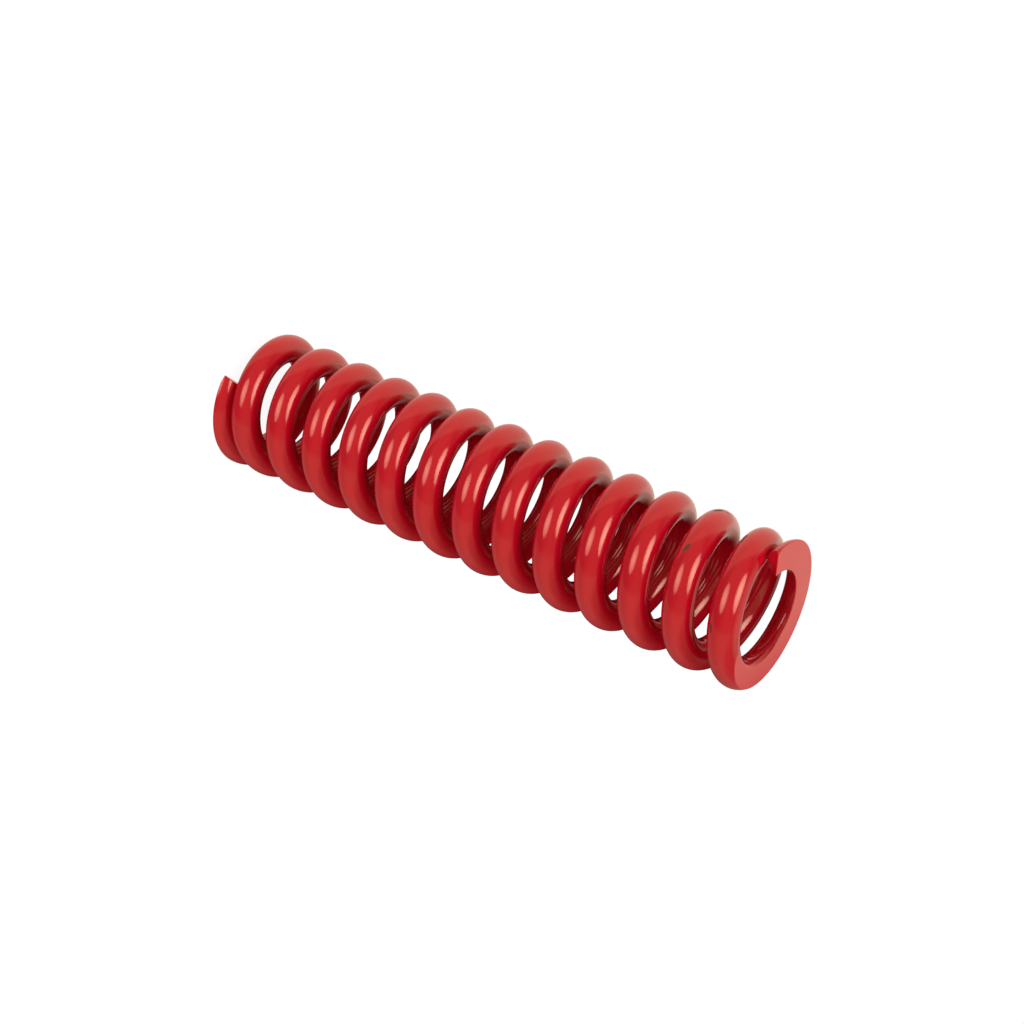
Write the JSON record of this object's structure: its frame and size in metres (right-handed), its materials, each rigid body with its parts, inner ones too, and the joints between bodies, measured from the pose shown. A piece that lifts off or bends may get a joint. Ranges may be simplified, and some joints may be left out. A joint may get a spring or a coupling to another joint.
{
  "type": "adjustment spring",
  "caption": "Long right-hand helical compression spring of thick round wire, red gloss paint, with closed ends ground flat.",
  "frame": {"origin": "on the spring's axis, in the plane of the lower ground face", "axes": "+Z along the spring's axis, from the lower ground face to the upper one"},
  "size_m": [0.0503, 0.0501, 0.207],
  "materials": {
    "red_paint": "gloss red enamel over spring steel"
  },
  "bodies": {
    "root": {"spring": "red_paint"}
  },
  "joints": []
}
